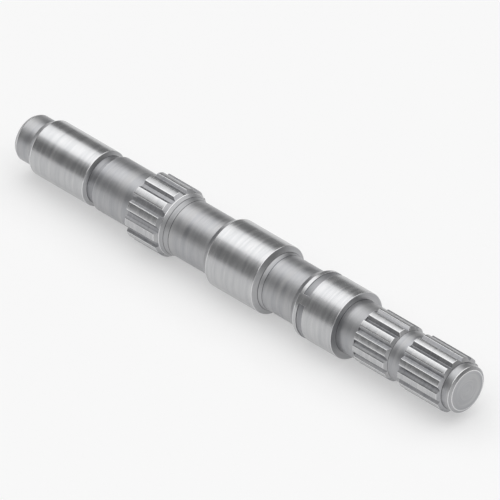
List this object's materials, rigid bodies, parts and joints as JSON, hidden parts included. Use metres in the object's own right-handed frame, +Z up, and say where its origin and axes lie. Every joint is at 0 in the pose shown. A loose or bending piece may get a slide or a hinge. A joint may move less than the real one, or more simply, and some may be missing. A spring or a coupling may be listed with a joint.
{
  "type": "pinion shaft",
  "caption": "One-piece stepped steel pinion shaft with two bearing journals, a slotted seat and two lengths of splines at its output end.",
  "frame": {"origin": "on the shaft's axis, at the middle of the ground length of journal B", "axes": "+X along the shaft's axis towards the splined output end; +Z up as the shaft lies; the first tooth of each toothed length is centred on -Y"},
  "size_m": [0.3038, 0.0368, 0.0368],
  "materials": {
    "steel": "case-hardened steel, ground on the journals and the seat, fine-turned on the bodies between them, hobbed on the teeth"
  },
  "bodies": {
    "root": {"pinion_shaft": "steel"}
  },
  "joints": []
}
